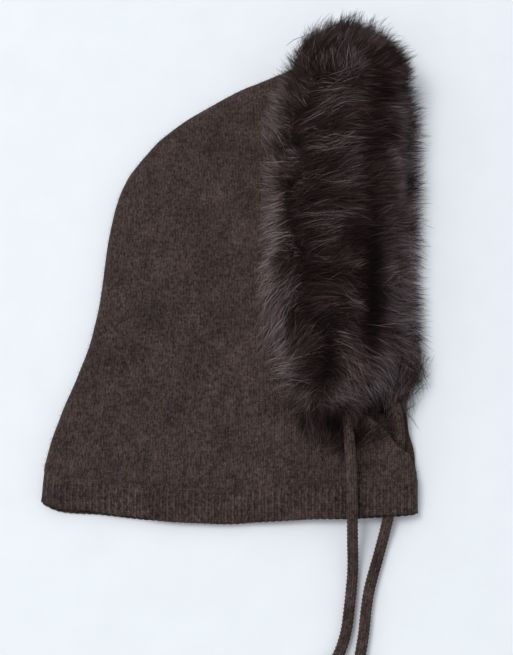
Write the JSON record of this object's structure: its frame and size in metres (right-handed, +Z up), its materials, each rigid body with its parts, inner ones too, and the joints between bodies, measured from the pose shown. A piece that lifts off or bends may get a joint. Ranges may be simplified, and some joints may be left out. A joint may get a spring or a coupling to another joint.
{
  "type": "fur-trimmed knit hood with ties",
  "caption": "Pull-on knitted hood with a shaped nape and crown, a ribbed neck edge, a deep fur trim round the face opening and two knitted ties, lying flat on its side.",
  "frame": {"origin": "centre of the footprint of the hood without its ties, on the surface that it lies on", "axes": "+X towards the face, +Y towards the crown, +Z up from the surface; the wearer's right side is on top"},
  "size_m": [0.284, 0.5128, 0.063],
  "materials": {
    "knit": "brushed brown wool knit, plain stitch, mottled, with a fine haze of fibres",
    "rib": "the same wool in a narrow rib",
    "fur": "long dark brown fur, glossy guard hairs over a dense lighter underfur",
    "tie": "narrow tubular knitted cord in the same wool"
  },
  "bodies": {
    "root": {"right_side": "knit", "left_side": "knit", "rib_band": "rib", "fur_trim": "fur", "right_tie": "tie", "left_tie": "tie"}
  },
  "joints": []
}
